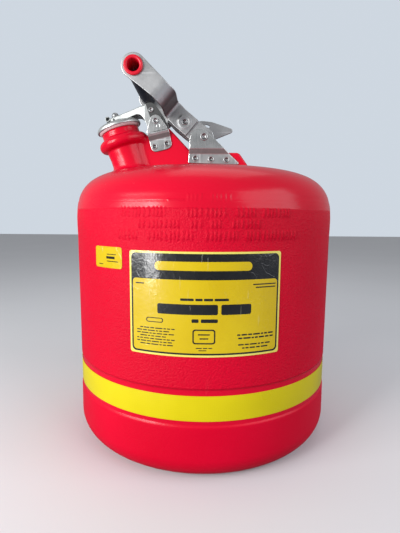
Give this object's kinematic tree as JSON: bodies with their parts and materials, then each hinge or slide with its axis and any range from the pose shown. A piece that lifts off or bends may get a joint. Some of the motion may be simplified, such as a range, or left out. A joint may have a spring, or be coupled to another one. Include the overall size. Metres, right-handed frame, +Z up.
{
  "type": "safety gas can",
  "caption": "Round plastic fuel can with a leaning spout, self-closing spring cap, riveted metal brackets and a swinging carry handle.",
  "frame": {"origin": "centre of the base on the floor", "axes": "+Z up, the spout leans towards -X, the front label faces -Y"},
  "size_m": [0.3048, 0.3048, 0.4301],
  "materials": {
    "tank_red": "moulded red polyethylene, satin grained wall and glossy dome",
    "band_yellow": "yellow reflective tape",
    "label_yellow": "yellow printed film",
    "arrester_steel": "stainless, pressed",
    "screen_steel": "fine stainless mesh",
    "bracket_steel": "stainless sheet, lightly scratched",
    "fastener_steel": "stainless, rolled ends",
    "spacer_steel": "stainless tube",
    "arm_steel": "stainless sheet, satin",
    "lever_steel": "stainless sheet, bright",
    "cap_steel": "stainless pressing, bright",
    "seal_pale": "pale moulded sealing ring",
    "spring_steel": "spring wire",
    "grip_red": "moulded red plastic",
    "grip_dark": "dark smooth plastic sleeve"
  },
  "bodies": {
    "can": {"can_body": "tank_red", "reflective_band": "band_yellow", "front_label": "label_yellow", "side_label": "label_yellow", "arrester_flange": "arrester_steel", "arrester_screen": "screen_steel", "arrester_end_disc": "arrester_steel", "rear_bracket_near": "bracket_steel", "rear_bracket_far": "bracket_steel", "front_bracket_near": "bracket_steel", "front_bracket_far": "bracket_steel", "rear_rivet_1": "fastener_steel", "rear_rivet_2": "fastener_steel", "rear_rivet_3": "fastener_steel", "front_rivet_1": "fastener_steel", "front_rivet_2": "fastener_steel", "rear_pivot_pin": "fastener_steel", "front_pivot_pin": "fastener_steel", "rear_pivot_spacer": "spacer_steel", "cap_spring": "spring_steel"},
    "handle": {"handle_arm_near": "arm_steel", "handle_arm_far": "arm_steel", "arm_cross_rivet": "fastener_steel", "arm_cross_spacer": "spacer_steel", "grip_core_tube": "grip_red"},
    "grip": {"grip_sleeve": "grip_dark"},
    "lever": {"cap_lever": "lever_steel", "lever_cross_pin": "fastener_steel", "cap_rivet": "fastener_steel"},
    "cap": {"cap_disc": "cap_steel", "cap_seal": "seal_pale", "seal_retainer": "spacer_steel"}
  },
  "joints": [
    {"name": "handle_swing", "type": "hinge", "parent": "can", "child": "handle", "pos_m": [0, 0, 0.3523], "axis": [0, 1, 0], "range_deg": [0, 40]},
    {"name": "cap_open", "type": "hinge", "parent": "can", "child": "lever", "pos_m": [-0.058, 0, 0.3705], "axis": [0, 1, 0], "range_deg": [0, 34], "stiffness_Nm_per_rad": 0.3, "springref_deg": -40.11, "deforming": ["cap_spring"]},
    {"name": "grip_spin", "type": "hinge", "parent": "handle", "child": "grip", "pos_m": [-0.07598, 0, 0.41654], "axis": [0, 1, 0], "continuous": true},
    {"name": "cap_spin", "type": "hinge", "parent": "lever", "child": "cap", "pos_m": [-0.10569, 0, 0.36792], "axis": [-0.3057, 0, 0.9521], "continuous": true}
  ]
}
